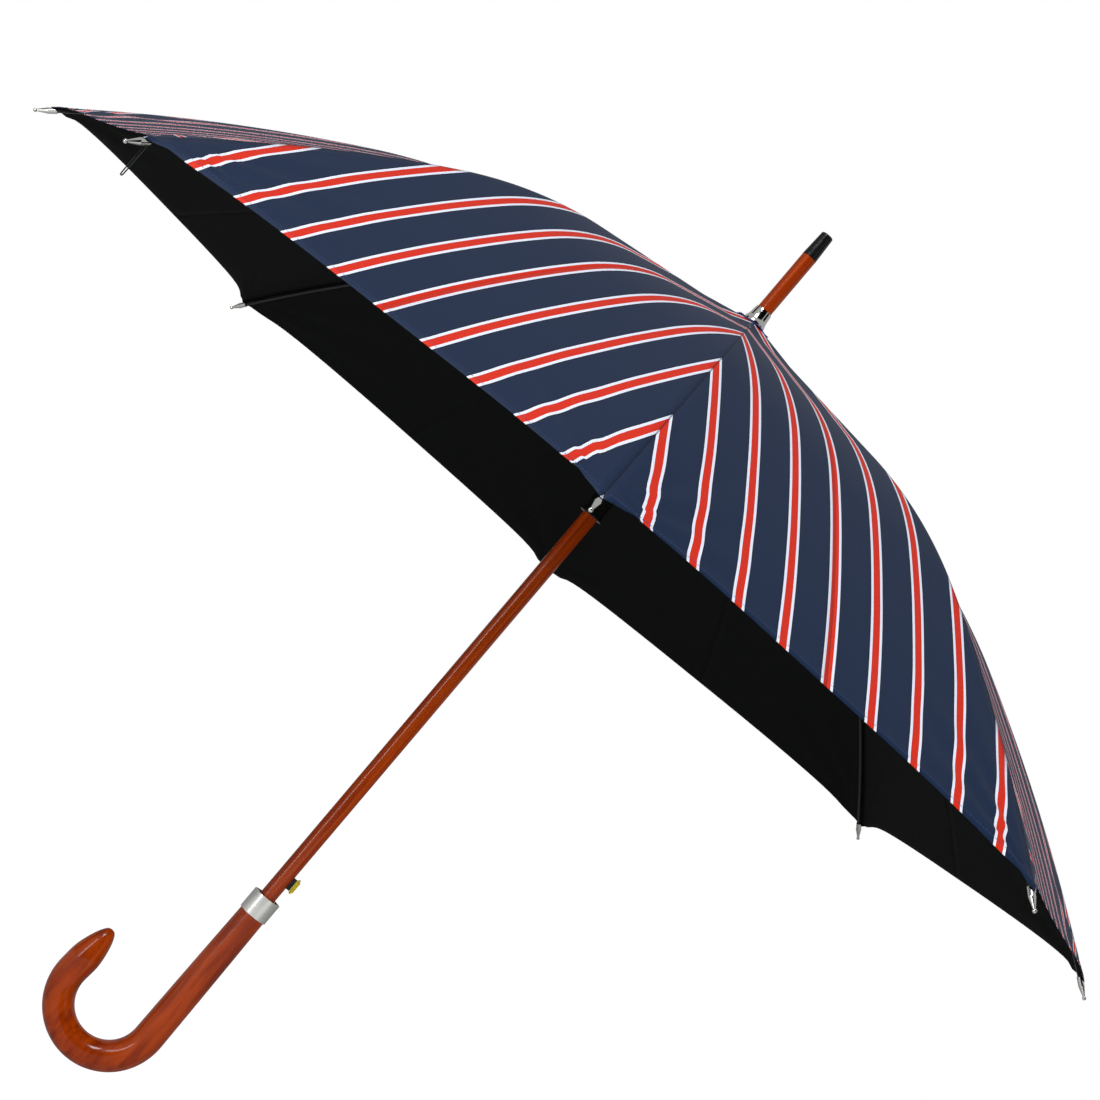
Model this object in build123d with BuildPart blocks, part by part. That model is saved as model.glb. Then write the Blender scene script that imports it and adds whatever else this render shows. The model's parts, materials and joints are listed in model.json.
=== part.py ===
from build123d import *
import os
from math import acos, cos, degrees, radians, sin, sqrt, tan

# Stick umbrella, open, in millimetres.  The origin is on the shaft's axis at the middle of the
# grip, +Z runs up the shaft to the ferrule and the crook hooks round towards -X.

# ---------------------------------------------------------------- driving dimensions
ribs = 8
shaft_radius = 6.85
shaft_bore = 4.6
shaft_in_handle = 42.0          # length of shaft glued into the grip

grip_above = 68.0               # origin up to the collar's lower edge
grip_below = 59.0               # origin down to the start of the crook
grip_top_radius = 11.3
grip_max_radius = 12.4
crook_section = 12.8            # radius of the round section at the bend
crook_radius = 40.5             # bend radius of the section's centre line
crook_turn = 185.0              # degrees of bend
hook_rise = 43.0                # end of the bend up to the nose
nose_radius = 5.0

collar_length = 18.5
collar_radius = 12.4
collar_wall = 1.0

crown_height = 597.5            # rib pivots above the collar's upper edge
shaft_past_crown = 5.5          # rib pivots up to the shaft's top end, inside the cap
ring_out = 2.35                 # shaft's surface out to the wire ring that the eyes turn on
wire_radius = 0.6
head_wall = 2.3                 # wire ring out to the side of the crown and of the runner head
head_lip = 4.5                  # pivot plane out to the closed end's near face
head_skirt = 3.0                # pivot plane to the open end of the slots
eye_thickness = 1.2
eye_radius = 1.7
eye_neck = 4.8                  # pivot to the start of the channel

rib_width = 3.2
rib_height = 2.6
rib_wall = 0.5
rib_slope = 11.7                # degrees below level, over the straight inner stretch
rib_straight = 184.6
bend_one = (495.0, 16.8)        # radius and turn of the first bend
bend_two = (1590.0, 9.43)       # radius and turn of the outer bend
joint_turn = 6.0                # degrees into the first bend where the stretcher is pinned
rivet_radius = 0.8
fold_turn = 62.0                # degrees that a rib swings down when the umbrella is shut

tip_length = 13.5               # rib's end out to the ball's end
tip_sleeve = 6.0                # length of rib end inside the tip
tip_radius = 2.6
tip_neck = 1.0
tip_ball = 1.65

stretcher_width = 3.0
stretcher_height = 2.4
fork_length = 12.0
fork_wall = 0.8
fork_root = 3.0

runner_length = 97.0            # pivot plane down to the flange's lower face
runner_wall = 1.7
flange_out = 3.45               # shaft's surface out to the edge of the runner's flange
flange_thickness = 2.4
drive_pin_radius = 1.0

button_above_collar = 19.8
button_length = 13.6
button_width = 6.0
button_travel = 2.5
button_head = 3.4
stem_length = 10.6
stem_width = 3.6
stem_foot = 3.9                 # the stem's inner end, from the shaft's axis

cap_height = 14.0
cap_base_radius = 10.0
cap_wall = 0.9
rosette_radius = 16.5
rosette_thickness = 1.0
ferrule_radius = 6.5
ferrule_step = 0.9              # shoulder where the rod stands on the cap
ferrule_length = 57.0           # wood seen between the cap and the black end
end_cap_length = 24.0
end_cap_tip_radius = 5.4

cloth = 0.4                     # thickness of the cover
cloth_gap = 0.3                 # clearance to what carries the cover
seam_gap = 0.3                  # between two half panels
rim_scallop = 18.0              # how far the rim draws in at the middle of a panel
cloth_dip = 5.0                 # how far the middle of a panel sinks below the chord

running = 0.25                  # radial clearance of the runner on the shaft
wire_fit = 0.08                 # radial clearance of an eye on its wire
snug = 0.05                     # radial clearance of parts glued or pressed together

spring_wire = 0.5
spring_radius = 3.6
spring_pitch = 13.0

# ---------------------------------------------------------------- derived places
pivot_ring = shaft_radius + ring_out
head_radius = pivot_ring + head_wall
runner_flange = shaft_radius + flange_out
collar_bottom = grip_above
collar_top = collar_bottom + collar_length
crown_z = collar_top + crown_height
apex_z = crown_z + head_lip + cloth_gap
shaft_top = crown_z + shaft_past_crown
shaft_bottom = collar_bottom - shaft_in_handle
crook_z = -grip_below


def rib_point(turn, offset=0.0):
    """(radius, height) on the rib's centre line, by the degrees turned past the straight stretch."""
    slope = radians(rib_slope)
    r = pivot_ring + rib_straight * cos(slope) + offset * sin(slope)
    z = crown_z - rib_straight * sin(slope) + offset * cos(slope)
    left = turn
    for radius, total in (bend_one, bend_two):
        part = min(left, total)
        end = slope + radians(part)
        r += (radius + offset) * (sin(end) - sin(slope))
        z += (radius + offset) * (cos(end) - cos(slope))
        slope = end
        left -= part
    return r, z


joint_r, joint_z = rib_point(joint_turn)
link = sqrt((joint_r - pivot_ring) ** 2 + (crown_z - joint_z) ** 2)
open_angle = degrees(acos((crown_z - joint_z) / link))
runner_z = 2 * joint_z - crown_z
full_turn = bend_one[1] + bend_two[1]
end_r, end_z = rib_point(full_turn)
rim_turn = full_turn - degrees((tip_sleeve + cloth_gap) / bend_two[0])
rim_r, rim_z = rib_point(rim_turn)
rim_slope = rib_slope + full_turn

os.makedirs("parts", exist_ok=True)


def save(solid, name):
    """Label one finished piece and write it."""
    solid.label = name
    export_step(solid, f"parts/{name}.step")


# ---------------------------------------------------------------- handle
spigot_radius = collar_radius - collar_wall - snug
spigot_length = collar_length - collar_wall - snug

with BuildPart() as handle:
    # straight grip, swelling a little towards the bend, with a spigot for the collar
    with BuildSketch(Plane.XZ):
        with BuildLine():
            Polyline((0, crook_z), (crook_section, crook_z))
            Spline(
                (crook_section, crook_z),
                (grip_max_radius, -grip_below / 3),
                (grip_top_radius, collar_bottom),
            )
            Polyline(
                (grip_top_radius, collar_bottom),
                (spigot_radius - 1, collar_bottom),
                (spigot_radius - 1, collar_bottom + spigot_length),
                (0, collar_bottom + spigot_length),
                (0, crook_z),
            )
        make_face()
    revolve(axis=Axis.Z)
    # a little over half a turn of crook
    with BuildSketch(Plane.XY.offset(crook_z)):
        Circle(crook_section)
    revolve(axis=Axis((-crook_radius, 0, crook_z), (0, 1, 0)), revolution_arc=crook_turn)
    # straight end of the hook, drawn down to a rounded nose and leaning with the end of the bend
    hook_lean = radians(crook_turn - 180)
    hook_plane = Plane(
        origin=(-crook_radius * (1 + cos(hook_lean)), 0, crook_z + crook_radius * sin(hook_lean)),
        x_dir=(cos(hook_lean), 0, -sin(hook_lean)),
        z_dir=(0, -1, 0),
    )
    with BuildSketch(hook_plane):
        with BuildLine():
            Line((0, 0), (crook_section, 0))
            Spline(
                (crook_section, 0),
                (crook_section, 0.3 * hook_rise),
                (0.8 * crook_section, 0.62 * hook_rise),
                (nose_radius, hook_rise - 0.6 * nose_radius),
                (0, hook_rise),
                tangents=[(0, 1), (-1, 0)],
            )
            Line((0, hook_rise), (0, 0))
        make_face()
    revolve(axis=Axis(hook_plane.origin, hook_plane.y_dir))
    # blind hole for the shaft
    with BuildSketch(Plane.XY.offset(shaft_bottom - 1)):
        Circle(shaft_radius + snug)
    extrude(amount=shaft_in_handle + collar_length + 2, mode=Mode.SUBTRACT)
save(handle.part, "handle")

with BuildPart() as handle_collar:
    with BuildSketch(Plane.XZ):
        with BuildLine():
            Polyline(
                (spigot_radius - 1 + snug, collar_bottom + snug),
                (collar_radius, collar_bottom + snug),
                (collar_radius, collar_top),
                (collar_radius - collar_wall, collar_top),
                (collar_radius - collar_wall, collar_top - collar_wall),
                (shaft_radius + snug, collar_top - collar_wall),
                (shaft_radius + snug, collar_top - collar_wall - snug - 0.9),
                (spigot_radius - 1 + snug, collar_top - collar_wall - snug - 0.9),
                close=True,
            )
        make_face()
    revolve(axis=Axis.Z)
    # the spigot's top face sits under the collar's plate
    with BuildSketch(Plane.XY.offset(collar_bottom)):
        Circle(spigot_radius - 1 + snug)
    extrude(amount=spigot_length + snug, mode=Mode.SUBTRACT)
save(handle_collar.part, "handle_collar")

# ---------------------------------------------------------------- shaft and what it holds
closed_angle = open_angle - fold_turn
runner_closed = crown_z - 2 * link * cos(radians(closed_angle))
pin_drop = runner_length - 12.0
slot_low = runner_closed - pin_drop - 2 * drive_pin_radius
slot_high = runner_z - pin_drop + 2 * drive_pin_radius
button_z = collar_top + button_above_collar

with BuildPart() as shaft:
    with BuildSketch(Plane.XY.offset(shaft_bottom)):
        Circle(shaft_radius)
        Circle(shaft_bore, mode=Mode.SUBTRACT)
    extrude(amount=shaft_top - shaft_bottom)
    # long slot on +Y for the drive pin, slot on +X for the button's stem
    with BuildSketch(Plane.XZ.offset(-shaft_radius - 1)):
        with Locations((0, (slot_low + slot_high) / 2)):
            SlotOverall(slot_high - slot_low, 2 * drive_pin_radius + 0.6, rotation=90)
    extrude(amount=shaft_radius + 1, mode=Mode.SUBTRACT)
    with BuildSketch(Plane.YZ):
        with Locations((0, button_z)):
            Rectangle(stem_width + 0.4, stem_length + 0.6)
    extrude(amount=shaft_radius + 1, mode=Mode.SUBTRACT)
save(shaft.part, "shaft")

plunger_top = runner_z - pin_drop + 5
plunger_bottom = plunger_top - 14
seat_top = button_z + 22
with BuildPart() as spring_seat:
    with BuildSketch(Plane.XY.offset(seat_top - 8)):
        Circle(shaft_bore - snug)
    extrude(amount=8)
save(spring_seat.part, "spring_seat")

with BuildPart() as plunger:
    with BuildSketch(Plane.XY.offset(plunger_bottom)):
        Circle(shaft_bore - 0.2)
    extrude(amount=plunger_top - plunger_bottom)
    with Locations(Plane((0, 0, runner_z - pin_drop), x_dir=(1, 0, 0), z_dir=(0, 1, 0))):
        Cylinder(drive_pin_radius + snug, 4 * shaft_bore, mode=Mode.SUBTRACT)
save(plunger.part, "plunger")

with BuildPart() as drive_pin:
    with BuildSketch(Plane.XZ.offset(-shaft_radius - running - runner_wall + 0.2)):
        with Locations((0, runner_z - pin_drop)):
            Circle(drive_pin_radius)
    extrude(amount=shaft_radius + running + runner_wall - 0.2 + shaft_bore - 0.5)
save(drive_pin.part, "drive_pin")

spring_low = seat_top + spring_wire + 0.3
spring_high = plunger_bottom - spring_wire - 0.3
spring_turns = round((spring_high - spring_low) / spring_pitch)
with BuildPart() as mainspring:
    with BuildLine() as coil:
        Helix(
            (spring_high - spring_low) / spring_turns,
            spring_high - spring_low,
            spring_radius,
            center=(0, 0, spring_low),
        )
    with BuildSketch(Plane(origin=coil.line @ 0, z_dir=coil.line % 0)):
        Circle(spring_wire)
    sweep(path=coil.line, is_frenet=True)
save(mainspring.part, "mainspring")

# ---------------------------------------------------------------- button
with BuildPart() as button:
    with BuildSketch(Plane.XZ):
        with BuildLine():
            half = button_length / 2
            inner = shaft_radius + button_travel + 0.6
            outer = inner + button_head
            Polyline(
                (inner, button_z - half + 1.2),
                (inner + 1.2, button_z - half),
                (outer - 1.6, button_z - half),
                (outer, button_z - half + 2.6),
                (outer, button_z + half - 2.6),
                (outer - 1.6, button_z + half),
                (inner + 1.2, button_z + half),
                (inner, button_z + half - 1.2),
                close=True,
            )
        make_face()
    extrude(amount=button_width / 2, both=True)
    fillet(button.edges().filter_by(Axis.Z).group_by(Axis.X)[-1], 0.8)
save(button.part, "button")

with BuildPart() as button_stem:
    with BuildSketch(Plane.YZ.offset(stem_foot)):
        with Locations((0, button_z)):
            Rectangle(stem_width, stem_length)
    extrude(amount=inner - snug - stem_foot)
save(button_stem.part, "button_stem")

leaf_z = button_z
leaf_thickness = 0.35
leaf_gap = 0.4
leaf_reach = 9.0                # half the leaf's height
with BuildPart() as latch_spring:
    with BuildSketch(Plane.XZ):
        with BuildLine():
            bow = stem_foot - leaf_thickness
            wall = leaf_thickness - shaft_bore + leaf_gap
            outer_bow = ThreePointArc(
                (wall, leaf_z - leaf_reach),
                (bow, leaf_z),
                (wall, leaf_z + leaf_reach),
            )
            Line(outer_bow @ 1, (wall - leaf_thickness, leaf_z + leaf_reach))
            inner_bow = ThreePointArc(
                (wall - leaf_thickness, leaf_z + leaf_reach),
                (bow - leaf_thickness, leaf_z),
                (wall - leaf_thickness, leaf_z - leaf_reach),
            )
            Line(inner_bow @ 1, outer_bow @ 0)
        make_face()
    extrude(amount=1.2, both=True)
save(latch_spring.part, "latch_spring")

# ---------------------------------------------------------------- crown, its wire and the top end


def slotted_head(z_pivot, z_open, z_shut, inner):
    """A notched head: radial slots that hold the eyes, and a groove for the ring of wire."""
    low, high = min(z_open, z_shut), max(z_open, z_shut)
    grip = 1 if z_shut > z_open else -1
    with BuildPart() as head:
        with BuildSketch(Plane.XY.offset(low)):
            Circle(head_radius)
            Circle(inner, mode=Mode.SUBTRACT)
        extrude(amount=high - low)
        slot_end = z_pivot + grip * (eye_radius + 0.35)
        with BuildSketch(Plane.XY.offset(min(z_open, slot_end))):
            with PolarLocations((pivot_ring - eye_radius - 0.35 + head_radius) / 2 + 1, ribs):
                Rectangle(head_radius - pivot_ring + eye_radius + 2.35, eye_thickness + 0.6)
        extrude(amount=abs(slot_end - z_open), mode=Mode.SUBTRACT)
        with BuildSketch(Plane.XY.offset(z_pivot - wire_radius - wire_fit)):
            Circle(head_radius + 1)
            Circle(pivot_ring - wire_radius - wire_fit, mode=Mode.SUBTRACT)
        extrude(amount=2 * (wire_radius + wire_fit), mode=Mode.SUBTRACT)
    return head.part


def wire_ring(z):
    """The ring of wire threaded through the eyes, with the small break where its ends meet."""
    with BuildPart() as ring:
        with BuildSketch(Plane.XZ):
            with Locations((pivot_ring, z)):
                Circle(wire_radius)
        revolve(axis=Axis.Z, revolution_arc=356)
    turned = ring.part.rotate(Axis.Z, 180 / ribs + 2)
    return turned


save(slotted_head(crown_z, crown_z - head_skirt, crown_z + head_lip, shaft_radius + snug), "crown")
save(wire_ring(crown_z), "crown_wire")

cloth_top = apex_z + cloth
with BuildPart() as rosette:
    with BuildSketch(Plane.XZ):
        with BuildLine():
            Polyline(
                (shaft_radius + cloth_gap, cloth_top + cloth_gap),
                (rosette_radius, cloth_top - 0.2),
                (rosette_radius, cloth_top - 0.2 + rosette_thickness),
                (shaft_radius + cloth_gap, cloth_top + cloth_gap + rosette_thickness),
                close=True,
            )
        make_face()
    revolve(axis=Axis.Z)
    with BuildSketch(Plane.XY.offset(cloth_top - 2)):
        Circle(rosette_radius + 1)
    extrude(amount=2 + 0.1, mode=Mode.SUBTRACT)
save(rosette.part, "rosette")

cap_low = cloth_top + cloth_gap + rosette_thickness + 0.1
cap_high = cap_low + cap_height
tenon_radius = ferrule_radius - ferrule_step
with BuildPart() as ferrule_cap:
    with BuildSketch(Plane.XZ):
        with BuildLine():
            flare = Spline(
                (cap_base_radius, cap_low),
                (cap_base_radius - 1.1, cap_low + 0.3 * cap_height),
                (ferrule_radius + cap_wall, cap_high),
                tangents=[(0, 1), (-0.2, 1)],
            )
            Polyline(
                flare @ 1,
                (tenon_radius + snug, cap_high),
                (tenon_radius + snug, shaft_top + snug),
                (shaft_radius + snug, shaft_top + snug),
                (shaft_radius + snug, cap_low),
                flare @ 0,
            )
        make_face()
    revolve(axis=Axis.Z)
save(ferrule_cap.part, "ferrule_cap")

wood_top = cap_high + ferrule_length
with BuildPart() as ferrule:
    with BuildSketch(Plane.XY.offset(cap_high + snug)):
        Circle(ferrule_radius)
    extrude(amount=wood_top - cap_high - snug)
    with BuildSketch(Plane.XY.offset(shaft_top + snug)):
        Circle(tenon_radius)
    extrude(amount=cap_high - shaft_top)
    # peg down into the shaft's bore, and a thinner peg up into the end cap
    with BuildSketch(Plane.XY.offset(shaft_top - 25)):
        Circle(shaft_bore - snug)
    extrude(amount=26)
    with BuildSketch(Plane.XY.offset(wood_top)):
        Circle(ferrule_radius - 2)
    extrude(amount=end_cap_length - 6)
save(ferrule.part, "ferrule")

with BuildPart() as ferrule_tip:
    with BuildSketch(Plane.XY.offset(wood_top + snug)):
        Circle(ferrule_radius + 0.1)
    with BuildSketch(Plane.XY.offset(wood_top + end_cap_length)):
        Circle(end_cap_tip_radius)
    loft()
    fillet(ferrule_tip.edges().group_by(Axis.Z)[-1], 1.4)
    with BuildSketch(Plane.XY.offset(wood_top)):
        Circle(ferrule_radius - 2 + snug)
    extrude(amount=end_cap_length - 6 + snug, mode=Mode.SUBTRACT)
save(ferrule_tip.part, "ferrule_tip")

# ---------------------------------------------------------------- runner
runner_bore = shaft_radius + running
with BuildPart() as runner:
    add(slotted_head(runner_z, runner_z + head_skirt, runner_z - head_lip, runner_bore))
    with BuildSketch(Plane.XY.offset(runner_z - runner_length + flange_thickness)):
        Circle(runner_bore + runner_wall)
        Circle(runner_bore, mode=Mode.SUBTRACT)
    extrude(amount=runner_length - flange_thickness - head_lip)
    with BuildSketch(Plane.XY.offset(runner_z - runner_length)):
        Circle(runner_flange)
        Circle(runner_bore, mode=Mode.SUBTRACT)
    extrude(amount=flange_thickness)
    fillet(runner.edges().filter_by(GeomType.CIRCLE).group_by(Axis.Z)[0].sort_by(SortBy.RADIUS)[-1], 0.8)
    # seat of the drive pin
    with BuildSketch(Plane.XZ.offset(-runner_bore - runner_wall - 1)):
        with Locations((0, runner_z - pin_drop)):
            Circle(drive_pin_radius + snug)
    extrude(amount=runner_wall + 2, mode=Mode.SUBTRACT)
save(runner.part, "runner")
save(wire_ring(runner_z), "runner_wire")

# ---------------------------------------------------------------- ribs


def rib_edge(offset):
    """Draw the rib's line at a height above its centre line, from the eye's neck to the outer end."""
    slope = radians(rib_slope)
    out = Vector(cos(slope), -sin(slope))
    up = Vector(sin(slope), cos(slope))
    start = Vector(pivot_ring, crown_z) + out * eye_neck + up * offset
    knee = Vector(pivot_ring, crown_z) + out * rib_straight + up * offset
    first = Line(start, knee)
    second = JernArc(knee, out, bend_one[0] + offset, -bend_one[1])
    third = JernArc(second @ 1, second % 1, bend_two[0] + offset, -bend_two[1])
    return first @ 0, third @ 1


def rib_band(above, below):
    """Side view of a band that follows the rib, between two heights off its centre line."""
    with BuildSketch(plane_rz) as band:
        with BuildLine():
            upper_start, upper_end = rib_edge(above)
            lower_start, lower_end = rib_edge(-below)
            Line(upper_start, lower_start)
            Line(upper_end, lower_end)
        make_face()
    return band.sketch


plane_rz = Plane(origin=(0, 0, 0), x_dir=(1, 0, 0), z_dir=(0, -1, 0))
half_rib = rib_height / 2

with BuildPart() as rib:
    # fluted channel, open upwards
    extrude(rib_band(half_rib, half_rib), amount=rib_width / 2, both=True)
    groove = rib_band(half_rib + 0.2, half_rib - rib_wall)
    extrude(groove, amount=rib_width / 2 - rib_wall, both=True, mode=Mode.SUBTRACT)
    # flattened eye that turns on the crown's wire
    with BuildSketch(plane_rz):
        with Locations((pivot_ring, crown_z)):
            Circle(eye_radius)
        with Locations(Location((pivot_ring, crown_z), -rib_slope)):
            with Locations((eye_neck / 2 + 1, 0)):
                Rectangle(eye_neck + 2, 2 * eye_radius - 0.9)
        with Locations((pivot_ring, crown_z)):
            Circle(wire_radius + wire_fit, mode=Mode.SUBTRACT)
    extrude(amount=eye_thickness / 2, both=True)
    # hole for the stretcher's rivet
    with BuildSketch(plane_rz):
        with Locations((joint_r, joint_z)):
            Circle(rivet_radius + 0.02)
    extrude(amount=rib_width, both=True, mode=Mode.SUBTRACT)

fork_half = rib_width / 2 + 0.25
rivet_half = fork_half + fork_wall + 0.4
with BuildPart() as rivet:
    with BuildSketch(plane_rz):
        with Locations((joint_r, joint_z)):
            Circle(rivet_radius)
    extrude(amount=rivet_half, both=True)
    with BuildSketch(plane_rz.offset(fork_half + fork_wall + 0.1), plane_rz.offset(-rivet_half)):
        with Locations((joint_r, joint_z)):
            Circle(rivet_radius + 0.5)
    extrude(amount=0.3)

# ---------------------------------------------------------------- tips, in the plane of the rib
tip_dir = Vector(cos(radians(rim_slope)), 0, -sin(radians(rim_slope)))
tip_base = Vector(end_r, 0, end_z) - tip_dir * tip_sleeve
tip_plane = Plane(origin=tip_base, x_dir=(0, 1, 0), z_dir=tip_dir)
tip_full = tip_sleeve + tip_length
ball_start = tip_full - tip_ball - sqrt(tip_ball**2 - tip_neck**2)
with BuildPart() as rib_tip:
    with BuildSketch(Plane.XZ):
        with BuildLine():
            Polyline(
                (0, 0),
                (tip_radius - 0.2, 0),
                (tip_radius, tip_sleeve + 1.5),
                (tip_neck, ball_start),
            )
            ThreePointArc(
                (tip_neck, ball_start),
                (tip_ball, tip_full - tip_ball),
                (0, tip_full),
            )
            Line((0, tip_full), (0, 0))
        make_face()
    revolve(axis=Axis.Z)
    with BuildSketch(Plane.XY.offset(-1)):
        Rectangle(rib_width + 2 * snug, rib_height + 2 * snug)
    extrude(amount=tip_sleeve + snug + 1, mode=Mode.SUBTRACT)
tip_solid = tip_plane.location * rib_tip.part

# ---------------------------------------------------------------- stretchers
rise = joint_z - runner_z
run = joint_r - pivot_ring
stretch_plane = Plane(
    origin=(pivot_ring, 0, runner_z),
    x_dir=(run, 0, rise),
    z_dir=(0, -1, 0),
)
half_stretch = stretcher_height / 2
with BuildPart() as stretcher:
    with BuildSketch(stretch_plane):
        with Locations(((eye_neck + link - fork_length) / 2, 0)):
            Rectangle(link - fork_length - eye_neck, stretcher_height)
    extrude(amount=stretcher_width / 2, both=True)
    with BuildSketch(stretch_plane):
        with Locations(((eye_neck + link - fork_length) / 2, -rib_wall)):
            Rectangle(link - fork_length - eye_neck - 8, stretcher_height)
    extrude(amount=stretcher_width / 2 - rib_wall, both=True, mode=Mode.SUBTRACT)
    # flattened eye on the runner's wire
    with BuildSketch(stretch_plane):
        Circle(eye_radius)
        with Locations((eye_neck / 2 + 1, 0)):
            Rectangle(eye_neck + 2, 2 * eye_radius - 0.9)
        Circle(wire_radius + wire_fit, mode=Mode.SUBTRACT)
    extrude(amount=eye_thickness / 2, both=True)
    # fork that straddles the rib: a solid root and two cheeks with rivet holes
    with BuildSketch(stretch_plane):
        with Locations((link - fork_length + fork_root / 2, 0)):
            Rectangle(fork_root + 2, stretcher_height)
    extrude(amount=fork_half + fork_wall, both=True)
    with BuildSketch(stretch_plane):
        with Locations((link - fork_length / 2, 0)):
            Rectangle(fork_length, stretcher_height)
        with Locations((link, 0)):
            Circle(half_stretch + 0.1)
        with Locations((link, 0)):
            Circle(rivet_radius + 0.06, mode=Mode.SUBTRACT)
    extrude(amount=fork_half + fork_wall, both=True)
    with BuildSketch(stretch_plane):
        with Locations((link, 0)):
            Rectangle(2 * (fork_length - fork_root), 4 * stretcher_height)
    extrude(amount=fork_half, both=True, mode=Mode.SUBTRACT)

for number in range(ribs):
    azimuth = 360 / ribs * number
    turned_rib = [piece.rotate(Axis.Z, azimuth) for piece in (rib.part, rivet.part)]
    save(Compound(children=turned_rib), f"rib_{number + 1}")
    save(tip_solid.rotate(Axis.Z, azimuth), f"rib_tip_{number + 1}")
    save(stretcher.part.rotate(Axis.Z, azimuth), f"stretcher_{number + 1}")

# ---------------------------------------------------------------- cover, in half panels
half_angle = 180 / ribs
# the cover drops away on both sides of a rib, so it rides this far above the rib's centre line
under = half_rib + cloth_gap + rib_width / 2 * tan(radians(half_angle)) * sin(radians(rim_slope))
crown_edge = head_radius + 1.5
hole_clearance = 1.0            # round the shaft
crown_fall = 0.4                # over the crown's top
samples = 18                    # points along the bent part of a rib


def cover_points(share, lift):
    """(radius, height) points of the cover from its hole to its rim.

    share is 0 over a rib and 1 at the middle of a panel, where the cover has drawn in and dips."""
    flat = cos(radians(half_angle * share))
    shoulder = crown_edge * flat / cos(radians(half_angle))
    points = [(shaft_radius + hole_clearance, apex_z + lift), (shoulder, apex_z - crown_fall + lift)]
    inner_slope = radians(rib_slope)
    for step in (0.3, 1.0):
        length = rib_straight * step
        r = pivot_ring + length * cos(inner_slope) + (under + lift) * sin(inner_slope)
        z = crown_z - length * sin(inner_slope) + (under + lift) * cos(inner_slope)
        points.append((r * flat, z - share * cloth_dip * step * 0.6))
    last = rim_turn - share * degrees(rim_scallop / bend_two[0])
    for step in range(1, samples):
        turn = last * step / (samples - 1)
        r, z = rib_point(turn, under + lift)
        points.append((r * flat, z - share * cloth_dip))
    return points


def cover_section(azimuth, share):
    """Closed outline of the cover in the upright plane at this azimuth."""
    lower = cover_points(share, 0)
    upper = cover_points(share, cloth)
    shift = seam_gap / 2 if share == 0 else -seam_gap / 2
    out = Vector(cos(radians(azimuth)), sin(radians(azimuth)), 0)
    side = Vector(-out.Y, out.X, 0) * shift
    plane = Plane(origin=side, x_dir=out, z_dir=out.cross(Vector(0, 0, 1)))
    with BuildSketch(plane) as section:
        with BuildLine():
            Polyline(*lower, *reversed(upper), close=True)
        make_face()
    return section.sketch


with BuildPart() as half_panel:
    add(cover_section(0, 0))
    add(cover_section(half_angle, 1))
    loft(ruled=True)

panel_left = half_panel.part
panel_right = panel_left.mirror(Plane.XZ)
for number in range(ribs):
    azimuth = 360 / ribs * number
    save(panel_left.rotate(Axis.Z, azimuth), f"panel_{number + 1}_left")
    save(panel_right.rotate(Axis.Z, azimuth), f"panel_{number + 1}_right")

# ---------------------------------------------------------------- elastic tie loop at one tip
tie_rib = 6
tie_cord = 0.5
tie_length = 24.0
tie_spread = 3.0
tie_r = rim_r + 2 - (tip_radius + tie_cord) * sin(radians(rim_slope))
tie_top = rim_z - 1 - (tip_radius + tie_cord + cloth_gap) * cos(radians(rim_slope))
tie_low = tie_top - tie_length
with BuildPart() as tie_loop:
    with BuildLine() as tie_path:
        Line((tie_r, -tie_spread / 2, tie_top), (tie_r, -tie_spread / 2, tie_low))
        ThreePointArc(
            (tie_r, -tie_spread / 2, tie_low),
            (tie_r, 0, tie_low - tie_spread / 2),
            (tie_r, tie_spread / 2, tie_low),
        )
        Line((tie_r, tie_spread / 2, tie_low), (tie_r, tie_spread / 2, tie_top))
    with BuildSketch(Plane.XY.offset(tie_top)):
        with Locations((tie_r, -tie_spread / 2)):
            Circle(tie_cord)
    sweep(path=tie_path.line)
save(tie_loop.part.rotate(Axis.Z, 360 / ribs * (tie_rib - 1)), "tie_loop")

print("link", round(link, 3), "open angle", round(open_angle, 3))
print("joint", round(joint_r, 2), round(joint_z, 2), "rim", round(rim_r, 2), round(rim_z, 2))
print("crown", crown_z, "runner", round(runner_z, 2), "shut", round(runner_closed, 2))
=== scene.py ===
# %% [markdown]
# # A stick umbrella, open, in navy cloth with red and white stripes
# The frame of the umbrella (shaft, ribs, stretchers, crown and runner) comes from the CAD model
# and is never moved. This script adds what CAD cannot say: the cloth, the tie loop, the small
# cloth rosette, and the finish of every surface. Everything is in metres, in the CAD's own
# frame: +Z runs up the shaft and the crook hooks round towards -X.

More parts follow.
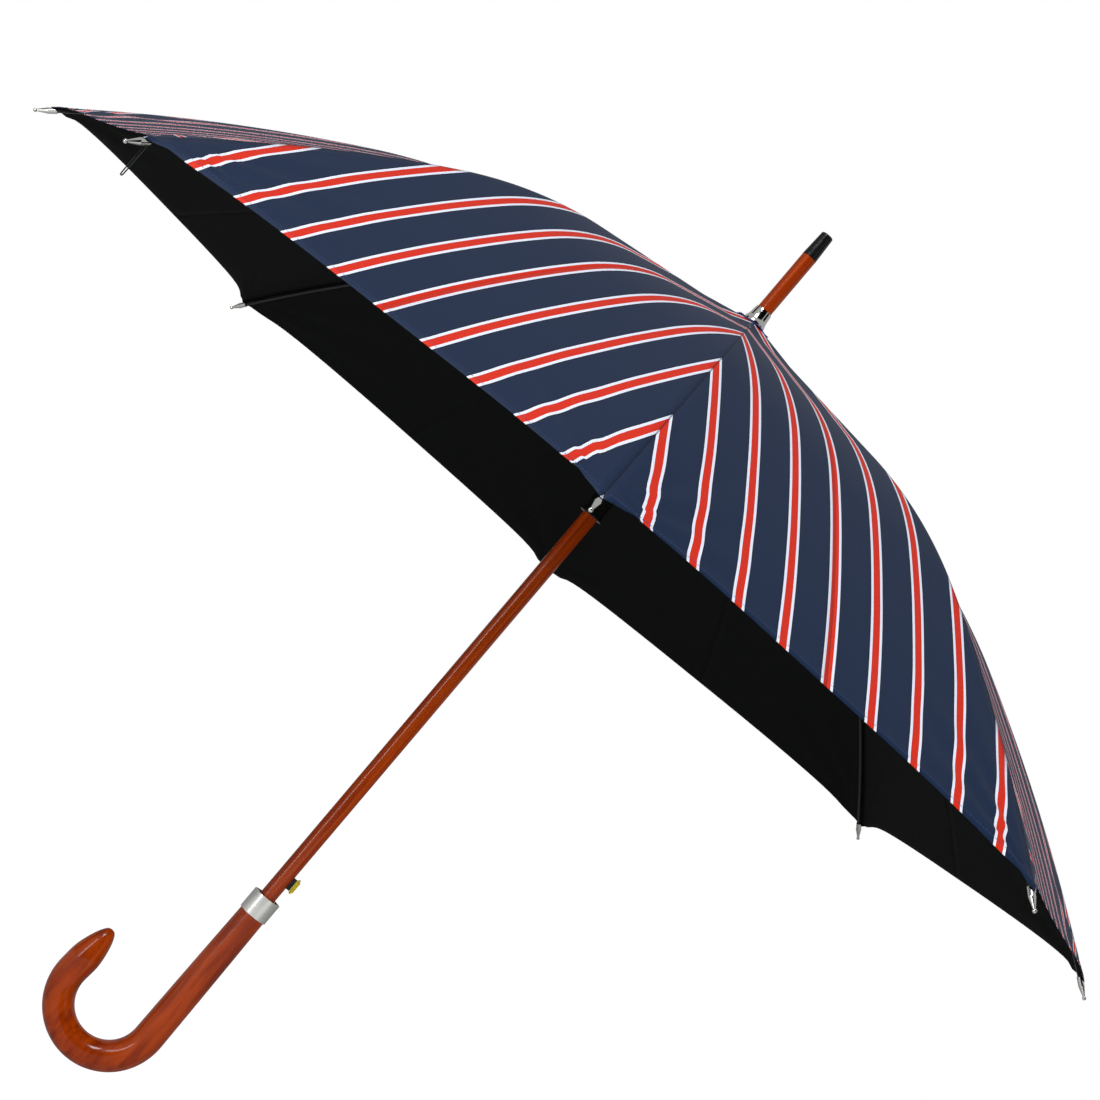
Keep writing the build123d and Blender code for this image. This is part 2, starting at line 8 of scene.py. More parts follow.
# %% Load the frame
import json
from math import atan2, cos, exp, pi, radians, sin, sqrt
import bmesh
import bpy
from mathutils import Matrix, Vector


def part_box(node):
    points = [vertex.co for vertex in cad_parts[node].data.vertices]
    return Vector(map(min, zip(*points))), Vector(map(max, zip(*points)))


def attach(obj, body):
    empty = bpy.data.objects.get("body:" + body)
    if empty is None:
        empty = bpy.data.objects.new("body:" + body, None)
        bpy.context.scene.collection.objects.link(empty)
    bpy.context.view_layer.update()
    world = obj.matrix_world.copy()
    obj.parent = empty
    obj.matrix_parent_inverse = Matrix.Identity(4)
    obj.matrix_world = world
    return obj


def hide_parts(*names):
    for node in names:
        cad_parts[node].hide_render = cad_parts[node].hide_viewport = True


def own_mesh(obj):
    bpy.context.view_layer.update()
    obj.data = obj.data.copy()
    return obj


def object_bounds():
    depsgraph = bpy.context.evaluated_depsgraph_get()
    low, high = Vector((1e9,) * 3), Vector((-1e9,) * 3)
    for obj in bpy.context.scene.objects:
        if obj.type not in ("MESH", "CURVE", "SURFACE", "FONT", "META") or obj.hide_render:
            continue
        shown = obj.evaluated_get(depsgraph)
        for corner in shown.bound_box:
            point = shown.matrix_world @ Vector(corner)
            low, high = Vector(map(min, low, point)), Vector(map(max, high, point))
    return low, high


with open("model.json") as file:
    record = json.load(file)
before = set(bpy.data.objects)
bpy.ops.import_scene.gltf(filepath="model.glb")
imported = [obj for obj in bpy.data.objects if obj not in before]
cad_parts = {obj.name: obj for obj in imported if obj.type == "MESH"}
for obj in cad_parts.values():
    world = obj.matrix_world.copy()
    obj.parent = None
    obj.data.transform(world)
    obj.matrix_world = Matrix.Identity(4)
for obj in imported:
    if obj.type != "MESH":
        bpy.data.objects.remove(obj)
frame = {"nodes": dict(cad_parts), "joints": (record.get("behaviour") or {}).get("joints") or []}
cad_box = [list(map(float, corner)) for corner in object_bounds()]
joints = {joint["name"]: joint for joint in frame["joints"]}

# %% [markdown]
# The camera comes first, because everything else is judged through it. It looks at the open
# umbrella from the side and a little from below the rim, and it is rolled, so that the upright
# umbrella leans across the view. A long lens keeps the far ribs nearly as large as the near ones.

# %% Camera
camera_data = bpy.data.cameras.new("camera")
camera_data.lens = 86.28
camera_data.sensor_width = 36.0
camera = bpy.data.objects.new("camera", camera_data)
camera.location = (0.0083, -2.1206, 0.3228)
camera.rotation_euler = (radians(94.281), radians(-40.209), radians(-2.351))
bpy.context.collection.objects.link(camera)
bpy.context.scene.camera = camera
print("camera at", tuple(camera.location))

# %% [markdown]
# Colours are easier to choose as the eye sees them, on a scale of 0 to 255. Blender's sockets
# want linear light, so one helper turns the first into the second.


# %% Colour helper
def seen(red, green, blue):
    """A colour given as it looks on a screen, as linear light with full alpha."""
    linear = []
    for channel in (red, green, blue):
        share = channel / 255
        linear.append(share / 12.92 if share <= 0.04045 else ((share + 0.055) / 1.055) ** 2.4)
    return (*linear, 1.0)


print("middle grey is", [round(channel, 3) for channel in seen(128, 128, 128)])

# %% [markdown]
# A material is a graph of nodes. Wiring it by hand is long, so a small class wraps a socket and
# gives it the plain signs of arithmetic: writing `1 - mask` adds the Math node and its links.
# Colours go through Mix, because a Math node would turn them grey.


# %% Nodes as expressions
class Wire:
    """One output socket in a material, with arithmetic that adds Math nodes."""

    def __init__(self, graph, socket):
        self.graph = graph
        self.socket = socket

    def math(self, operation, other=None, swap=False):
        first, second = (other, self) if swap else (self, other)
        return self.graph.node("ShaderNodeMath", {"operation": operation}, {0: first, 1: second})

    def __add__(self, other):
        return self.math("ADD", other)

    __radd__ = __add__

    def __sub__(self, other):
        return self.math("SUBTRACT", other)

    def __rsub__(self, other):
        return self.math("SUBTRACT", other, swap=True)

    def __mul__(self, other):
        return self.math("MULTIPLY", other)

    __rmul__ = __mul__

    def __truediv__(self, other):
        return self.math("DIVIDE", other)

    def __lt__(self, other):
        return self.math("LESS_THAN", other)

    def __gt__(self, other):
        return self.math("GREATER_THAN", other)

    def __abs__(self):
        return self.math("ABSOLUTE")


class Graph:
    """A new material, its Principled shader and the means to add nodes to it."""

    def __init__(self, name):
        self.material = bpy.data.materials.new(name)
        self.material.use_nodes = True
        self.tree = self.material.node_tree
        self.shader = self.tree.nodes["Principled BSDF"]

    def node(self, kind, settings=None, values=None, output=0):
        """Add a node, set it up, fill its sockets with values or links and return one output."""
        made = self.tree.nodes.new(kind)
        for key, value in (settings or {}).items():
            setattr(made, key, value)
        for key, value in (values or {}).items():
            if value is None:
                continue
            if isinstance(value, Wire):
                self.tree.links.new(value.socket, made.inputs[key])
            else:
                made.inputs[key].default_value = value
        return Wire(self, made.outputs[output])

    def coordinates(self, scale=(1, 1, 1), uv=None):
        """Object coordinates, or a piece's own UV map, stretched by scale."""
        if uv:
            place = self.node("ShaderNodeUVMap", {"uv_map": uv})
        else:
            place = self.node("ShaderNodeTexCoord", output="Object")
        return self.node("ShaderNodeMapping", None, {"Vector": place, "Scale": scale})

    def noise(self, place, scale, detail=3.0, roughness=0.5):
        values = {"Vector": place, "Scale": scale, "Detail": detail, "Roughness": roughness}
        return self.node("ShaderNodeTexNoise", None, values)

    def mix(self, factor, first, second):
        """Blend two colours."""
        return self.node(
            "ShaderNodeMix",
            {"data_type": "RGBA"},
            {"Factor": factor, 6: first, 7: second},
            output=2,
        )

    def spread(self, value, low, high, out_low=0.0, out_high=1.0):
        """Map a range smoothly to another."""
        values = {"Value": value, "From Min": low, "From Max": high}
        values.update({"To Min": out_low, "To Max": out_high})
        return self.node("ShaderNodeMapRange", {"interpolation_type": "SMOOTHSTEP"}, values)

    def bump(self, height, distance, strength=1.0):
        values = {"Height": height, "Distance": distance, "Strength": strength}
        self.link("Normal", self.node("ShaderNodeBump", None, values))

    def link(self, socket, wire):
        self.tree.links.new(wire.socket, self.shader.inputs[socket])

    def set(self, **values):
        for key, value in values.items():
            self.shader.inputs[key.replace("_", " ")].default_value = value


print("shader helpers are ready")

# %% [markdown]
# The shaft, the crook and the ferrule rod are turned wood under a thick reddish-brown lacquer.
# The grain is long and soft, so a noise stretched along the shaft tints the colour, and a clear
# coat over a fairly smooth base gives the two highlights that lacquer has.


# %% Lacquered wood
def lacquered_wood(name, light, dark, grain):
    wood = Graph(name)
    long_grain = wood.noise(wood.coordinates(grain), 3.0, 6.0, 0.6)
    fine_grain = (grain[0] * 4, grain[1] * 4, grain[2] * 2)
    pores = wood.noise(wood.coordinates(fine_grain), 6.0, 2.0)
    tone = wood.spread(long_grain, 0.3, 0.72)
    body = wood.mix(tone, seen(*light), seen(*dark))
    fleck = wood.spread(pores, 0.6, 0.8, 0.0, 0.3)
    wood.link("Base Color", wood.mix(fleck, body, seen(*[channel * 0.6 for channel in dark])))
    wood.link("Roughness", 0.3 + 0.1 * long_grain)
    wood.set(Coat_Weight=0.5, Coat_Roughness=0.12, Specular_IOR_Level=0.04)
    wood.bump(long_grain, 0.00005, 0.05)
    return wood.material


shaft_wood = lacquered_wood("shaft_wood", (166, 62, 6), (128, 38, 1), (90, 90, 3))
crook_wood = lacquered_wood("crook_wood", (164, 60, 2), (116, 32, 0), (44, 44, 5))
print("woods", shaft_wood.name, crook_wood.name)

# %% [markdown]
# The collar, the cap under the ferrule and the rib tips are plated. Real chrome is never quite
# even, so faint smears vary its roughness. The wires and springs are plain drawn steel, rougher
# and greyer, and the button is a yellow brass.


# %% Plated and bare metal
def metal(name, colour, low, high, scale):
    plate = Graph(name)
    smear = plate.noise(plate.coordinates((1, 1, 1)), scale, 4.0)
    duller = [channel * 0.85 for channel in colour]
    plate.link("Base Color", plate.mix(0.25 * smear, seen(*colour), seen(*duller)))
    plate.link("Roughness", plate.spread(smear, 0.3, 0.7, low, high))
    plate.set(Metallic=1.0)
    plate.bump(smear, 0.00002, 0.02)
    return plate.material


chrome = metal("chrome", (214, 214, 210), 0.08, 0.14, 40.0)
steel = metal("spring_steel", (168, 168, 166), 0.26, 0.4, 300.0)
brass = metal("yellow_brass", (232, 208, 52), 0.2, 0.32, 240.0)
print("metals", chrome.name, steel.name, brass.name)

# %% [markdown]
# Ribs and stretchers are black enamelled steel, and the crown, the runner and the end cap are
# moulded black plastic. Both are almost the same colour: what tells them apart is the gloss, and
# the fine orange peel of enamel against the smooth moulded skin. The elastic is a matt black.


# %% Black enamel and plastic
def black(name, colour, low, high, grain, depth):
    skin = Graph(name)
    texture = skin.noise(skin.coordinates(), grain, 3.0)
    lighter = [channel * 1.6 + 2 for channel in colour]
    skin.link("Base Color", skin.mix(texture, seen(*colour), seen(*lighter)))
    skin.link("Roughness", skin.spread(texture, 0.3, 0.7, low, high))
    skin.set(Specular_IOR_Level=0.35)
    skin.bump(texture, depth, 0.04)
    return skin.material


enamel = black("black_enamel", (14, 14, 15), 0.34, 0.5, 900.0, 0.0001)
plastic = black("black_plastic", (12, 12, 13), 0.16, 0.28, 420.0, 0.00005)
elastic_black = black("elastic", (16, 16, 17), 0.6, 0.8, 2500.0, 0.0002)
print("blacks", enamel.name, plastic.name, elastic_black.name)

# %% [markdown]
# The cover is woven polyester. Its stripes run parallel to the middle of each panel and are
# printed on the cloth before it is cut, so they meet in chevrons on the seams. Each half panel
# carries a map called `cloth`, in metres: across is the distance from the panel's middle, along
# is the distance from the crown. The stripe is then only arithmetic on the first number. A second
# map, `edge`, holds the distances to the seam and to the rim, for the stitching and for a line of
# painted shade in the seam.

# %% Striped cloth
stripe_pitch = 0.0427
red_half = 0.0034
white_half = 0.0058
line_half = 0.0066
hem_stitch_line = 0.0065
thread_waves = 9000.0
twill_waves = 3300.0
navy, deep_navy, worn_navy = seen(15, 31, 57), seen(7, 12, 30), seen(19, 37, 65)
white, pale_blue = seen(232, 236, 246), seen(176, 192, 230)
red, dark_red = seen(208, 46, 24), seen(192, 38, 20)
thread_blue = seen(40, 62, 104)


def map_axes(graph, name):
    """The two numbers of a UV map."""
    uv = graph.node("ShaderNodeUVMap", {"uv_map": name})
    first = graph.node("ShaderNodeSeparateXYZ", None, {0: uv})
    return first, Wire(graph, first.socket.node.outputs[1])


def striped_cloth():
    cloth = Graph("striped_cloth")
    across, along = map_axes(cloth, "cloth")
    to_seam, to_rim = map_axes(cloth, "edge")
    # a red stripe lies on the middle of the panel; the whole number keeps the count above zero
    phase = across / stripe_pitch + 100.5
    from_centre = abs(phase.math("FRACT") - 0.5) * stripe_pitch
    # the weave: two crossed sets of fine threads, and a diagonal rib in the white yarn
    warp = (across * thread_waves).math("SINE")
    weft = (along * thread_waves).math("SINE")
    weave = warp * weft
    twill = ((across + along) * twill_waves).math("SINE") > 0.1
    mottle = cloth.noise(cloth.coordinates((1, 1, 1), "cloth"), 420.0, 4.0)
    ground = cloth.mix(cloth.spread(mottle, 0.35, 0.65), navy, worn_navy)
    band_white = cloth.mix(twill * 0.55, white, pale_blue)
    colour = cloth.mix(from_centre < line_half, ground, deep_navy)
    colour = cloth.mix(from_centre < white_half, colour, band_white)
    colour = cloth.mix(from_centre < red_half, colour, cloth.mix(mottle, red, dark_red))
    # sewing: a row of small stitches along the hem, and a dark line of painted shade in the seam's
    # ditch
    stitch = (abs(to_rim - hem_stitch_line) < 0.0004) * ((to_seam * 2100.0).math("SINE") > -0.3)
    colour = cloth.mix(stitch * 0.8, colour, thread_blue)
    # painted shade: the cloth in the seam's ditch is darkened towards deep navy
    colour = cloth.mix((to_seam < 0.0006) * 0.6, colour, deep_navy)
    cloth.link("Base Color", colour)
    cloth.link("Roughness", 0.5 + 0.18 * mottle)
    cloth.set(Specular_IOR_Level=0.2)
    # the cloth puckers beside the seam and waves along the hem
    pucker_fade = cloth.spread(to_seam, 0.0, 0.008, 1.0, 0.0)
    rim_fade = cloth.spread(to_rim, 0.0, 0.022, 1.0, 0.0)
    puckers = (along * 620.0 + 3.0 * mottle).math("SINE") * pucker_fade * 0.5
    hem_waves = (across * 520.0 + 3.0 * mottle).math("SINE") * rim_fade * 0.35
    cloth.bump(0.6 * puckers + hem_waves + 0.1 * weave + 0.15 * mottle, 0.0004, 0.35)
    return cloth.material


outer_cloth = striped_cloth()
print("stripe every", stripe_pitch, "m")

# %% [markdown]
# The inside of the cover is coated black. It is matt, with only the weave to catch the light. The
# small rosette under the chrome cap is a scrap of blue-violet cloth with a pinked edge.


# %% Lining and rosette cloth
def plain_cloth(name, colour, lighter, thread, roughness):
    cloth = Graph(name)
    place = cloth.coordinates()
    mottle = cloth.noise(place, 160.0, 4.0)
    bands = {"wave_type": "BANDS"}
    threads = cloth.node("ShaderNodeTexWave", bands, {"Vector": place, "Scale": thread})
    cloth.link("Base Color", cloth.mix(0.6 * mottle, seen(*colour), seen(*lighter)))
    cloth.link("Roughness", roughness + 0.1 * mottle)
    cloth.set(Specular_IOR_Level=0.12)
    cloth.bump(Wire(cloth, threads.socket.node.outputs["Fac"]) * 0.5 + mottle, 0.0002, 0.2)
    return cloth.material


inner_cloth = plain_cloth("black_lining", (9, 12, 10), (15, 18, 16), 700.0, 0.8)
rosette_cloth = plain_cloth("rosette_cloth", (62, 70, 140), (96, 104, 178), 500.0, 0.6)
print("plain cloths", inner_cloth.name, rosette_cloth.name)

# %% [markdown]
# The CAD nodes already have the right shapes, so each only gets its finish. Names say what a node
# is: a rib, a stretcher or a tip is one of eight, and the rest have names of their own. The half
# panels aren't in the list, because cloth made further down stands in for them.

# %% Finish the CAD nodes
finish_of = {
    "shaft": shaft_wood, "ferrule": shaft_wood, "handle": crook_wood,
    "handle_collar": chrome, "ferrule_cap": chrome, "rib_tip": chrome,
    "crown_wire": steel, "runner_wire": steel, "mainspring": steel, "latch_spring": steel,
    "drive_pin": steel, "button": brass, "button_stem": plastic, "crown": plastic,
    "runner": plastic, "ferrule_tip": plastic, "spring_seat": plastic, "plunger": plastic,
    "rib": enamel, "stretcher": enamel, "tie_loop": elastic_black, "rosette": rosette_cloth,
}
for name, node in frame["nodes"].items():
    plain_name = name.rstrip("0123456789").rstrip("_")
    if plain_name in finish_of:
        node.data.materials.clear()
        node.data.materials.append(finish_of[plain_name])
print("finished", len(frame["nodes"]), "nodes")

# %% [markdown]
# The cover is stretched over the ribs, so its seams follow them exactly. A rib is straight near
# the crown and then bends down in two arcs. The same few sizes that shape the ribs give the line
# of a seam, as a radius and a height for any distance along it. Near the crown the cloth leaves
# the rib and climbs to the top of the crown.

# %% The line of a seam
ribs = 8
half_angle = pi / ribs
pivot = Vector(joints["fold"]["pos_m"])
rib_slope = radians(11.7)
rib_straight = 0.1846
bends = ((0.495, radians(16.8)), (1.590, radians(9.43)))
sleeve = 0.0063
cover_height = 0.00271
hole_radius = 0.00785
crown_shoulder = 0.013
crown_top = pivot.z + 0.0048
leave_crown = 0.3        # share of the rib's straight part where the cloth comes down on it
lift_at_hole = 0.0004
lift_at_shoulder = 0.0002


def on_rib(distance):
    """(radius, height) of the cover over a rib, at a distance along the rib from its pivot."""
    slope = rib_slope
    r = pivot.x + min(distance, rib_straight) * cos(slope)
    z = pivot.z - min(distance, rib_straight) * sin(slope)
    left = max(0.0, distance - rib_straight)
    for radius, turn in bends:
        part = min(left / radius, turn)
        r += radius * (sin(slope + part) - sin(slope))
        z += radius * (cos(slope + part) - cos(slope))
        slope += part
        left -= part * radius
    return r + cover_height * sin(slope), z + cover_height * cos(slope)


rib_length = rib_straight + sum(radius * turn for radius, turn in bends) - sleeve
landing = on_rib(rib_straight * leave_crown)


def seam(share):
    """(radius, height) of the seam, from 0 at the hole to 1 at the rim."""
    reach = hole_radius + share * (rib_length + pivot.x - hole_radius)
    if reach <= crown_shoulder:
        return reach, crown_top + lift_at_hole
    along = (reach - crown_shoulder) / (rib_straight * leave_crown + pivot.x - crown_shoulder)
    if along < 1:
        r = crown_shoulder + along * (landing[0] - crown_shoulder)
        z = crown_top + lift_at_shoulder + along * (landing[1] - crown_top - lift_at_shoulder)
        return r, z
    return on_rib(reach - pivot.x)


print("rib length", round(rib_length, 4), "rim", [round(value, 4) for value in seam(1.0)])

# %% [markdown]
# Between two ribs the cloth is pulled nearly straight across, sinks a little in the middle and has
# a rim that draws in. Where it is stitched to a rib's tip the pull gathers it into a few fine folds
# that fan out from the corner. A panel is made in two halves, each belonging to its nearer rib,
# because each rib carries its half when the umbrella is folded. The two halves share the middle
# line point by point, so the panel reads as one sheet.

# %% The shape of a panel
rim_scallop = 0.0175     # how far the rim draws in at the middle of a panel
rim_curve = 2.4          # how flat the middle of that curve is
rim_share = 6            # a high power keeps the drawing-in near the rim
corner_reach = 0.006     # the extra length that the stitching pulls out to the tip
corner_width = 0.06
panel_dip = 0.005
dip_onset = 1.4
tip_lift = 0.0011
tip_lift_reach = 0.008
fold_height = 0.0034
fold_start = 0.003       # the folds leave the seam itself smooth
fold_onset = 0.02
fold_reach = 0.11
fold_waves = 13.0
fold_waves_change = 3.0  # so that no two corners are gathered alike
columns = 26
rows = 96


def panel_point(azimuth, side, share_across, share_along):
    """A point of the cover: share_across is 0 on the rib and 1 at the middle of the panel."""
    blend = share_across / 2
    hollow = 4 * blend * (1 - blend)
    corner = corner_reach * exp(-blend / corner_width)
    drawn_in = rim_scallop * (1 - (1 - 2 * blend) ** rim_curve) - corner
    share = share_along * (1 - drawn_in / rib_length * share_along**rim_share)
    r, z = seam(share)
    near = Vector((r * cos(azimuth), r * sin(azimuth), z))
    next_azimuth = azimuth + side * 2 * half_angle
    far = Vector((r * cos(next_azimuth), r * sin(next_azimuth), z))
    point = near.lerp(far, blend)
    point.z -= panel_dip * hollow * min(1.0, share * dip_onset)
    # folds that fan out from the corner at the tip
    to_corner = (1 - share) * rib_length
    from_rib = blend * 2 * r * sin(half_angle)
    reach = sqrt(to_corner**2 + from_rib**2)
    point.z += tip_lift * exp(-((reach / tip_lift_reach) ** 2))
    if from_rib > fold_start:
        fan = atan2(from_rib, to_corner)
        rise = min(1.0, (from_rib - fold_start) / fold_onset)
        fade = exp(-((reach / fold_reach) ** 2)) * rise * (1 - share_across)
        humps = fold_waves + fold_waves_change * sin(azimuth * 3 + side)
        point.z += fold_height * (0.5 - 0.5 * cos(fan * humps)) * fade
    return point, from_rib, r


print("half panel grid", columns, "by", rows)

# %% [markdown]
# Each half is built as a grid of points joined into squares, then Solidify gives it the thickness
# of the cloth and puts the black lining on the inner side. The rim is folded under and sewn, so
# the last 7 mm stands a little higher than the rest. Each half then rides with its own rib.

# %% Make the half panels
cloth_thickness = 0.00034
hem_width = 0.007
hem_lift = 0.00025


def half_panel(number, side_name, side):
    azimuth = 2 * half_angle * (number - 1)
    mesh = bpy.data.meshes.new(f"cover_{number}_{side_name}")
    grid = bmesh.new()
    cloth_map = grid.loops.layers.uv.new("cloth")
    edge_map = grid.loops.layers.uv.new("edge")
    places = {}
    lattice = []
    for row in range(rows + 1):
        line = []
        for column in range(columns + 1):
            share_along = row / rows
            point, from_rib, r = panel_point(azimuth, side, column / columns, share_along)
            if (1 - share_along) * rib_length < hem_width and column > 0:
                point.z += hem_lift
            vertex = grid.verts.new(point)
            middle = r * sin(half_angle)
            along = share_along * rib_length
            places[vertex] = ((middle - from_rib) * side, along, from_rib, rib_length - along)
            line.append(vertex)
        lattice.append(line)
    for row in range(rows):
        for column in range(columns):
            corners = [
                lattice[row][column], lattice[row + 1][column],
                lattice[row + 1][column + 1], lattice[row][column + 1],
            ]
            if side < 0:
                corners.reverse()
            face = grid.faces.new(corners)
            face.smooth = True
            for loop in face.loops:
                across, along, from_rib, to_rim = places[loop.vert]
                loop[cloth_map].uv = (across, along)
                loop[edge_map].uv = (from_rib, to_rim)
    grid.to_mesh(mesh)
    grid.free()
    mesh.materials.append(outer_cloth)
    mesh.materials.append(inner_cloth)
    piece = bpy.data.objects.new(mesh.name, mesh)
    bpy.context.collection.objects.link(piece)
    area = sum(face.area for face in mesh.polygons)
    width = seam(1.0)[0] * sin(half_angle)
    thickness = piece.modifiers.new("thickness", "SOLIDIFY")
    thickness.thickness = cloth_thickness
    thickness.offset = -1
    thickness.material_offset = 1
    thickness.material_offset_rim = 0
    bpy.ops.object.select_all(action="DESELECT")
    bpy.context.view_layer.objects.active = piece
    piece.select_set(True)
    bpy.ops.object.modifier_apply(modifier="thickness")
    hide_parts(f"panel_{number}_{side_name}")
    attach(piece, f"rib_{number}_body")
    width * 1.12
    rib_length * 1.06
    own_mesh(piece)
    return area


cover_area = 0
for number in range(1, ribs + 1):
    cover_area += half_panel(number, "left", 1)
    cover_area += half_panel(number, "right", -1)
print("cover area", round(cover_area, 3), "square metres")

# %% [markdown]
# The rosette is a disc cut with pinking shears, so its edge is a zigzag, and it is not quite flat.
# A ring with many corners is drawn round the ferrule and extruded outwards in four steps. Then
# every second corner of the edge is drawn in, and a slow wave bends the cloth down.

# %% Rosette
low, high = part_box("rosette")
rosette_radius = (high[0] - low[0]) / 2
inner_radius = 0.0073
points_round = 64
steps_out = 4
cloth_wide = rosette_radius - inner_radius
bpy.ops.object.select_all(action="DESELECT")
bpy.ops.mesh.primitive_circle_add(
    vertices=points_round, radius=inner_radius, location=(0, 0, high[2] - 0.0003)
)
rosette = bpy.context.object
rosette.name = "rosette_cloth"
bpy.ops.object.mode_set(mode="EDIT")
bpy.ops.mesh.select_all(action="SELECT")
for step in range(steps_out):
    bpy.ops.mesh.extrude_region_move()
    wider = inner_radius + cloth_wide * (step + 1) / steps_out
    growth = wider / (inner_radius + cloth_wide * step / steps_out)
    bpy.ops.transform.resize(value=(growth, growth, 1))
bpy.ops.object.mode_set(mode="OBJECT")
bpy.ops.object.transform_apply(location=True, rotation=True, scale=True)
for index, vertex in enumerate(rosette.data.vertices):
    reach = sqrt(vertex.co.x**2 + vertex.co.y**2)
    outward = (reach - inner_radius) / cloth_wide
    if outward > 0.95 and index % 2:
        vertex.co.x *= 0.9
        vertex.co.y *= 0.9
    vertex.co.z -= 0.0006 * outward * (1 + sin(index * 2 * pi * 5 / points_round))
bpy.ops.object.mode_set(mode="EDIT")
bpy.ops.mesh.select_all(action="SELECT")
bpy.ops.mesh.normals_make_consistent(inside=False)
bpy.ops.object.mode_set(mode="OBJECT")
cloth_body = rosette.modifiers.new("body", "SOLIDIFY")
cloth_body.thickness = 0.0005
cloth_body.offset = -1
bpy.ops.object.modifier_apply(modifier="body")
bpy.ops.object.shade_smooth_by_angle(angle=radians(40))
rosette.data.materials.clear()
rosette.data.materials.append(rosette_cloth)
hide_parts("rosette")
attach(rosette, "stick")
print("rosette", round(rosette_radius * 2000, 1), "mm across")

# %% [markdown]
# The tie loop is a thin elastic cord that holds the folded umbrella shut. It hangs from one tip,
# down and back up. A cord is a smooth NURBS curve through a short list of points, with a round
# bevel.

# %% Tie loop
low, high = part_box("tie_loop")
tie_azimuth = 2 * half_angle * 5
aside = Vector((-sin(tie_azimuth), cos(tie_azimuth), 0))
tie_centre = Vector(((low[0] + high[0]) / 2, (low[1] + high[1]) / 2, 0))
tie_diameter = 0.001
tie_half_spread = 0.0015
tie_top = high[2]
tie_bottom = low[2] + tie_diameter / 2
leg = tie_top - tie_bottom
route = [
    (-1.0, 0.0), (-1.0, 0.25), (-1.0, 0.5), (-1.0, 0.75), (-1.0, 0.93), (-0.75, 1.01),
    (0.75, 1.01), (1.0, 0.93), (1.0, 0.75), (1.0, 0.5), (1.0, 0.25), (1.0, 0.0),
]
curve = bpy.data.curves.new("tie_cord", "CURVE")
curve.dimensions = "3D"
curve.bevel_depth = tie_diameter / 2
curve.bevel_resolution = 3
curve.resolution_u = 6
spline = curve.splines.new("NURBS")
spline.points.add(len(route) - 1)
for point, (sideways, down) in zip(spline.points, route):
    place = tie_centre + aside * sideways * tie_half_spread + Vector((0, 0, tie_top - down * leg))
    point.co = (*place, 1)
spline.order_u = 3
spline.use_endpoint_u = True
tie = bpy.data.objects.new("tie_cord", curve)
bpy.context.collection.objects.link(tie)
curve.materials.append(elastic_black)
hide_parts("tie_loop")
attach(tie, "rib_6_body")

# %% [markdown]
# The studio is a pale floor in a white surround. Both look white to the camera, while the light
# that they throw on the object stays at a plain level. The surround is also brighter in
# reflections than in the light that it gives, so that metal shows a pale room.


# %% Floor and surround
def white_floor():
    floor = Graph("pale_floor")
    tree = floor.tree
    texture = floor.noise(floor.coordinates(), 3.0)
    pale, paler = (0.8, 0.8, 0.8, 1), (0.86, 0.86, 0.86, 1)
    floor.link("Base Color", floor.mix(0.1 * texture, paler, pale))
    floor.set(Roughness=0.9)
    glow = tree.nodes.new("ShaderNodeEmission")
    glow.inputs["Strength"].default_value = 1.12
    rays = tree.nodes.new("ShaderNodeLightPath")
    share = Wire(floor, rays.outputs["Is Camera Ray"]) * 0.9
    mixer = tree.nodes.new("ShaderNodeMixShader")
    tree.links.new(share.socket, mixer.inputs[0])
    tree.links.new(floor.shader.outputs[0], mixer.inputs[1])
    tree.links.new(glow.outputs[0], mixer.inputs[2])
    tree.links.new(mixer.outputs[0], tree.nodes["Material Output"].inputs["Surface"])
    return floor.material


bpy.ops.object.select_all(action="DESELECT")
bpy.ops.mesh.primitive_plane_add(size=80, location=(0, 0, cad_box[0][2] - 0.0005))
floor = bpy.context.object
floor.name = "floor"
floor.data.materials.append(white_floor())

world = bpy.data.worlds.new("surround")
bpy.context.scene.world = world
world.use_nodes = True
sky = world.node_tree.nodes["Background"]
sky.inputs["Color"].default_value = (1, 1, 1, 1)
light_path = world.node_tree.nodes.new("ShaderNodeLightPath")
fill_light = world.node_tree.nodes.new("ShaderNodeMapRange")
world.node_tree.links.new(light_path.outputs["Is Glossy Ray"], fill_light.inputs["Value"])
fill_light.inputs["To Min"].default_value = 0.2
fill_light.inputs["To Max"].default_value = 0.5
strength = world.node_tree.nodes.new("ShaderNodeMapRange")
world.node_tree.links.new(light_path.outputs["Is Camera Ray"], strength.inputs["Value"])
world.node_tree.links.new(fill_light.outputs[0], strength.inputs["To Min"])
strength.inputs["To Max"].default_value = 1.0
world.node_tree.links.new(strength.outputs[0], sky.inputs["Strength"])
print("floor at", round(cad_box[0][2], 4))

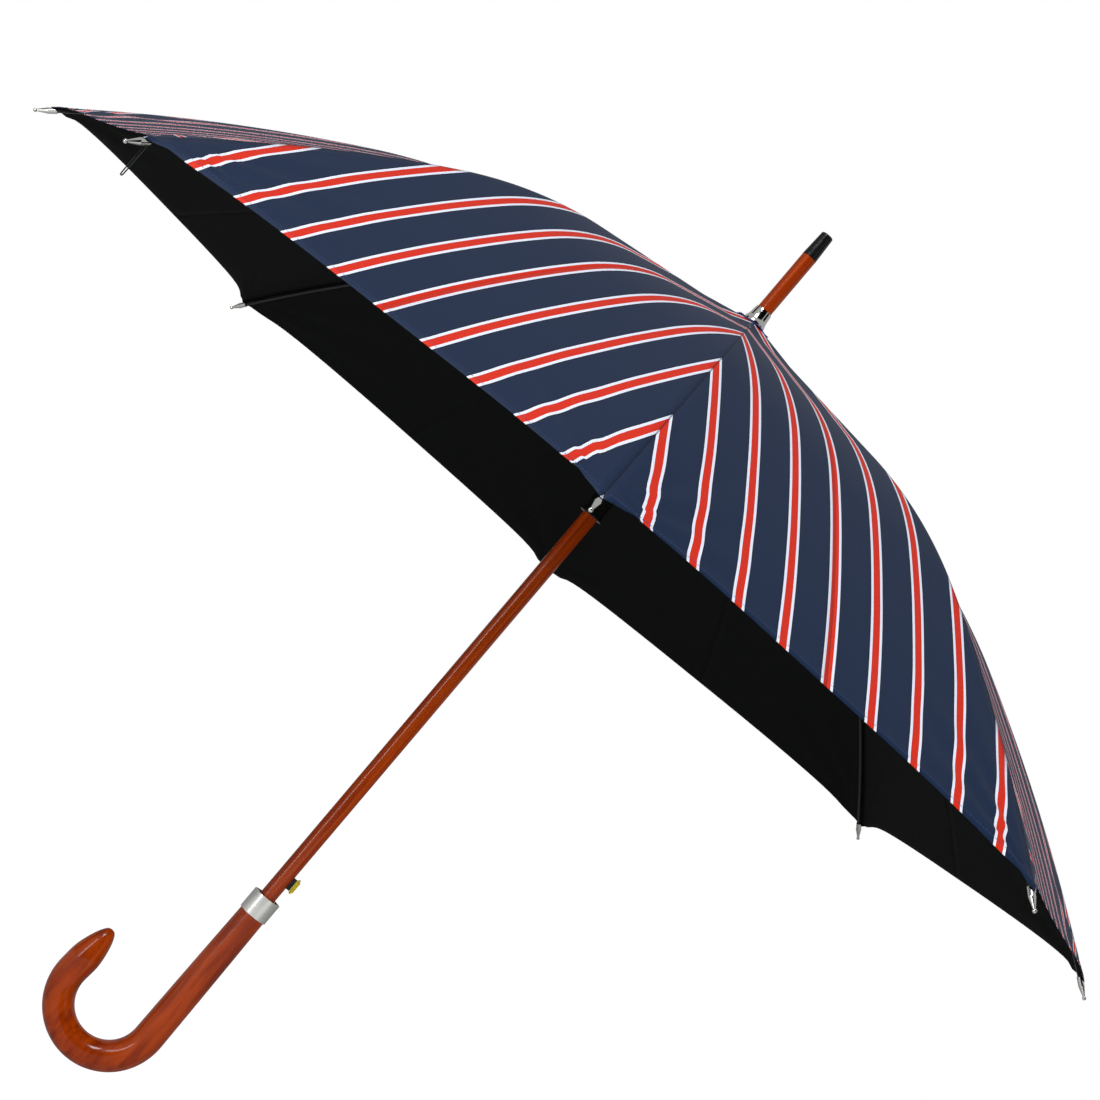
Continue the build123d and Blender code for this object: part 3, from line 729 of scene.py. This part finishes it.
# %% [markdown]
# A large soft key lamp stands up on the left, a weaker fill on the right keeps the shadows open,
# and a tall strip low on the left draws a long highlight down the shaft. A dark wall behind the
# camera and two dark cards at the sides stand out of sight, because chrome and lacquer need
# something dark to reflect.


# %% Lamps and cards
def soft_lamp(name, place, aim, size, power, mirrored=True):
    data = bpy.data.lights.new(name, "AREA")
    data.shape = "RECTANGLE"
    data.size, data.size_y = size
    data.energy = power
    lamp = bpy.data.objects.new(name, data)
    bpy.context.collection.objects.link(lamp)
    lamp.location = place
    lamp.rotation_euler = (Vector(aim) - Vector(place)).to_track_quat("-Z", "Y").to_euler()
    lamp.visible_camera = False
    lamp.visible_glossy = mirrored
    return lamp


soft_lamp("key", (-1.3, -2.0, 2.3), (0, 0, 0.5), (0.9, 0.9), 50)
soft_lamp("fill", (1.9, -2.4, 0.9), (0, 0, 0.5), (0.7, 1.6), 44, mirrored=False)
soft_lamp("strip", (-1.3, -1.6, 0.2), (0, 0, 0.2), (0.35, 1.8), 16)


def matt_black():
    card = Graph("matt_black")
    texture = card.noise(card.coordinates(), 2.0)
    card.link("Base Color", card.mix(texture, seen(6, 6, 6), seen(9, 9, 9)))
    card.set(Roughness=1.0, Specular_IOR_Level=0.0)
    return card.material


card_black = matt_black()


def dark_card(name, place, aim, size):
    bpy.ops.object.select_all(action="DESELECT")
    bpy.ops.mesh.primitive_plane_add(size=1, location=place)
    card = bpy.context.object
    card.name = name
    card.scale = (*size, 1)
    card.rotation_euler = (Vector(aim) - Vector(place)).to_track_quat("Z", "Y").to_euler()
    card.data.materials.append(card_black)
    card.visible_camera = False
    card.visible_shadow = False
    card.visible_diffuse = False


dark_card("dark_wall", (0.2, -3.4, 1.9), (0.2, 0, 1.9), (7.0, 4.2))
dark_card("card_left", (-2.2, 0.3, 0.6), (0, 0, 0.6), (1.0, 2.6))
dark_card("card_right", (2.2, -0.6, 0.6), (0, 0, 0.6), (1.2, 2.6))
bpy.context.scene.view_settings.view_transform = "Standard"
print("lamps and cards are set")

# %% The size of the CAD frame
print("cad", cad_box)
